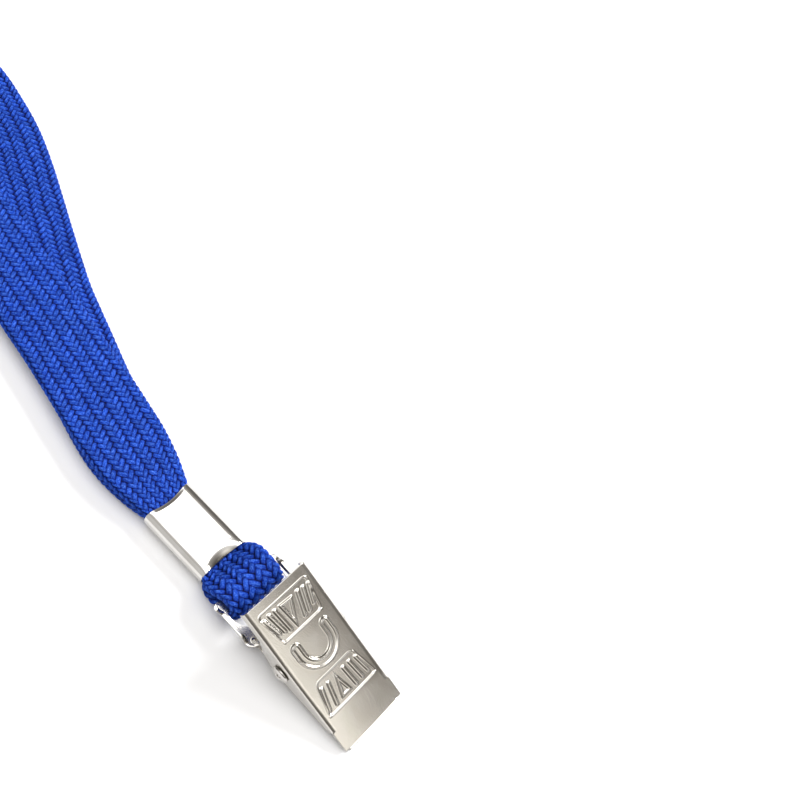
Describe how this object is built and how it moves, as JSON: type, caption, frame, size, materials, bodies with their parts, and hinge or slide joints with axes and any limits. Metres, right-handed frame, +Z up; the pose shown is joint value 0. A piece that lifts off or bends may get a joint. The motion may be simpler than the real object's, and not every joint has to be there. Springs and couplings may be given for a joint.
{
  "type": "lanyard badge holder",
  "caption": "Flat braided neck strap gathered in a folded metal crimp, with a sprung two-lever metal clip on its end loop for holding a badge.",
  "frame": {"origin": "on the surface that the lanyard lies on, below the middle of the crimp and the clip together", "axes": "+X along the lanyard from the strap to the jaw tip, +Z up off the surface, Y across the strap"},
  "size_m": [0.3493, 0.0475, 0.0137],
  "materials": {
    "bright_nickel": "bright nickel plate on a thin folded sheet, mirror smooth",
    "nickel_plate": "warm nickel plate on pressed steel sheet with fine scratches",
    "nickel_pin": "nickel plated steel with peened heads",
    "spring_wire": "drawn spring wire",
    "blue_braid": "royal blue polyester braid with a soft sheen",
    "tie_rubber": "matte black elastic band"
  },
  "bodies": {
    "strap": {"crimp_sleeve": "bright_nickel", "end_loop": "blue_braid", "strap_leg_top": "blue_braid", "strap_leg_under": "blue_braid", "strap_hank": "blue_braid", "hank_tie": "tie_rubber"},
    "lower_jaw": {"lower_lever": "nickel_plate", "pivot_pin": "nickel_pin", "torsion_spring": "spring_wire"},
    "upper_jaw": {"upper_lever": "nickel_plate"}
  },
  "joints": [
    {"name": "clip_swing", "type": "hinge", "parent": "strap", "child": "lower_jaw", "pos_m": [-0.00536, 0, 0.0035], "axis": [0, -1, 0], "range_deg": [0, 95]},
    {"name": "jaw_pivot", "type": "hinge", "parent": "lower_jaw", "child": "upper_jaw", "pos_m": [0.00966, 0, 0.00539], "axis": [0, -1, 0], "range_deg": [0, 28], "stiffness_Nm_per_rad": 0.04, "springref_deg": -103.13, "deforming": ["torsion_spring"]}
  ]
}
